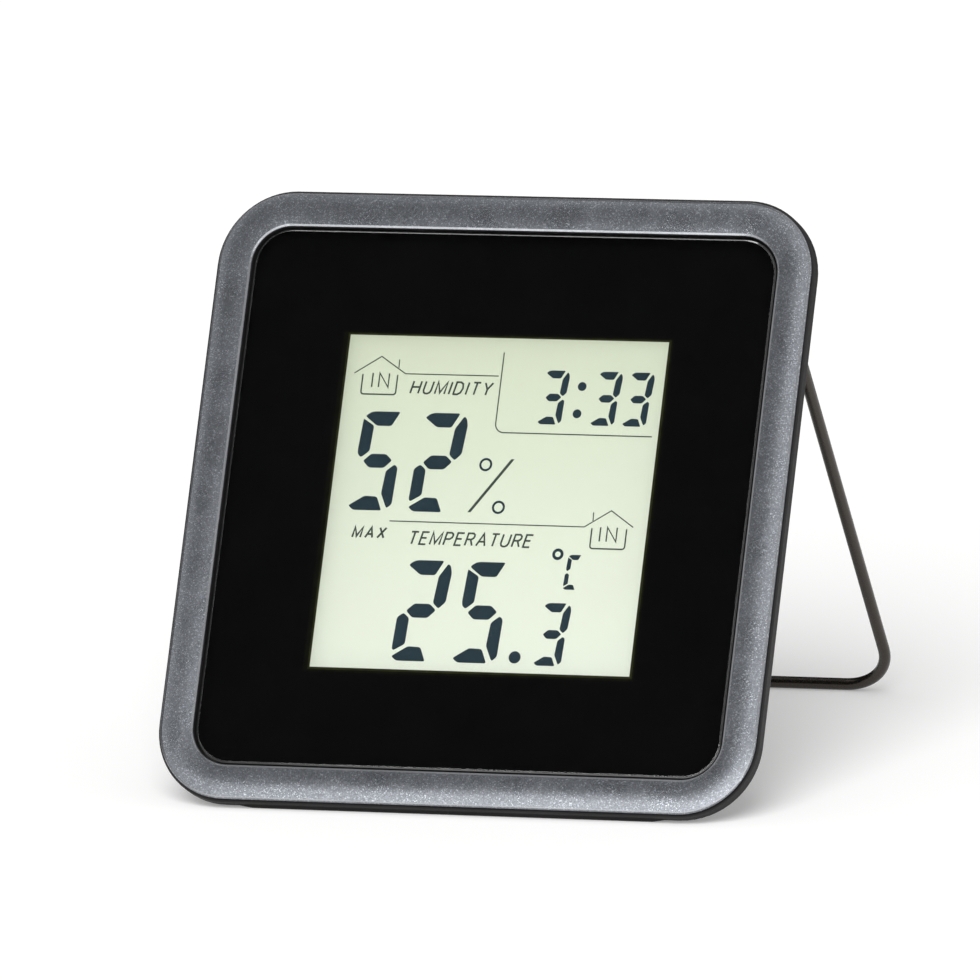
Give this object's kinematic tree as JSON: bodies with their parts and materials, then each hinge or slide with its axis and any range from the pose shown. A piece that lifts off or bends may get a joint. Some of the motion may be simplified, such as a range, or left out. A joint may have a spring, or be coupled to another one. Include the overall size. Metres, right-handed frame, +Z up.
{
  "type": "digital thermo-hygrometer",
  "caption": "Square desk thermo-hygrometer with clock: silver-trimmed black display panel leaning back on a folding wire stand, with rear buttons and a battery door.",
  "frame": {"origin": "middle of the footprint on the table, stand opened", "axes": "+X to the right seen from the front, -Y out of the front, +Z up"},
  "size_m": [0.1108, 0.0948, 0.0975],
  "materials": {
    "silver_trim": "metallic silver lacquer with a fine sparkle",
    "case_plastic": "fine spark-eroded charcoal grain",
    "clear_lens": "polished clear acrylic",
    "black_mask": "even black print seen through the lens",
    "adhesive_foam": "matt double-sided adhesive frame",
    "black_foam": "open foam",
    "polarizer_film": "anti-glare film",
    "lcd_glass": "ground-edge soda glass",
    "reflector": "pearly pale green reflector",
    "white_plastic": "natural white moulding",
    "connector_rubber": "striped conductive rubber",
    "board_laminate": "green solder mask",
    "black_epoxy": "domed epoxy",
    "bare_steel": "nickel-plated steel",
    "tan_ceramic": "fired ceramic with tinned ends",
    "switch_plastic": "black moulding",
    "plunger_plastic": "cream moulding",
    "button_plastic": "satin black moulding",
    "cell_jacket": "plain printed cell jacket",
    "lead_insulation": "thin vinyl insulation",
    "black_wire": "satin black finish on steel wire"
  },
  "bodies": {
    "housing": {"trim_frame": "silver_trim", "front_case": "case_plastic", "display_lens": "clear_lens", "lens_mask": "black_mask", "lens_tape": "adhesive_foam", "lcd_gasket": "black_foam", "front_polarizer": "polarizer_film", "lcd_front_glass": "lcd_glass", "lcd_rear_glass": "lcd_glass", "reflector_film": "reflector", "lcd_holder": "white_plastic", "zebra_strip": "connector_rubber", "main_board": "board_laminate", "chip_blob": "black_epoxy", "clock_crystal": "bare_steel", "chip_capacitors": "tan_ceramic", "humidity_sensor": "white_plastic", "thermistor": "black_epoxy", "tact_switches": "switch_plastic", "inner_screws": "bare_steel", "rear_cover": "case_plastic", "case_screws": "bare_steel", "battery_upper": "cell_jacket", "battery_lower": "cell_jacket", "contact_link": "bare_steel", "contact_positive": "bare_steel", "contact_negative": "bare_steel", "battery_leads": "lead_insulation"},
    "stand": {"wire_stand": "black_wire"},
    "door": {"battery_door": "case_plastic"},
    "key_mode": {"button_mode": "button_plastic", "plunger_mode": "plunger_plastic"},
    "key_up": {"button_up": "button_plastic", "plunger_up": "plunger_plastic"},
    "key_down": {"button_down": "button_plastic", "plunger_down": "plunger_plastic"},
    "key_memory": {"button_memory": "button_plastic", "plunger_memory": "plunger_plastic"}
  },
  "joints": [
    {"name": "stand_fold", "type": "hinge", "parent": "housing", "child": "stand", "pos_m": [0, 0.00345, 0.07537], "axis": [-1, 0, 0], "range_deg": [0, 59.5]},
    {"name": "door_open", "type": "hinge", "parent": "housing", "child": "door", "pos_m": [0, -0.01861, 0.00627], "axis": [-1, 0, 0], "range_deg": [0, 60]},
    {"name": "press_mode", "type": "slide", "parent": "housing", "child": "key_mode", "axis": [0, -0.8702, 0.4927], "range_m": [0, 0.0005], "stiffness_N_per_m": 1500},
    {"name": "press_up", "type": "slide", "parent": "housing", "child": "key_up", "axis": [0, -0.8702, 0.4927], "range_m": [0, 0.0005], "stiffness_N_per_m": 1500},
    {"name": "press_down", "type": "slide", "parent": "housing", "child": "key_down", "axis": [0, -0.8702, 0.4927], "range_m": [0, 0.0005], "stiffness_N_per_m": 1500},
    {"name": "press_memory", "type": "slide", "parent": "housing", "child": "key_memory", "axis": [0, -0.8702, 0.4927], "range_m": [0, 0.0005], "stiffness_N_per_m": 1500}
  ]
}
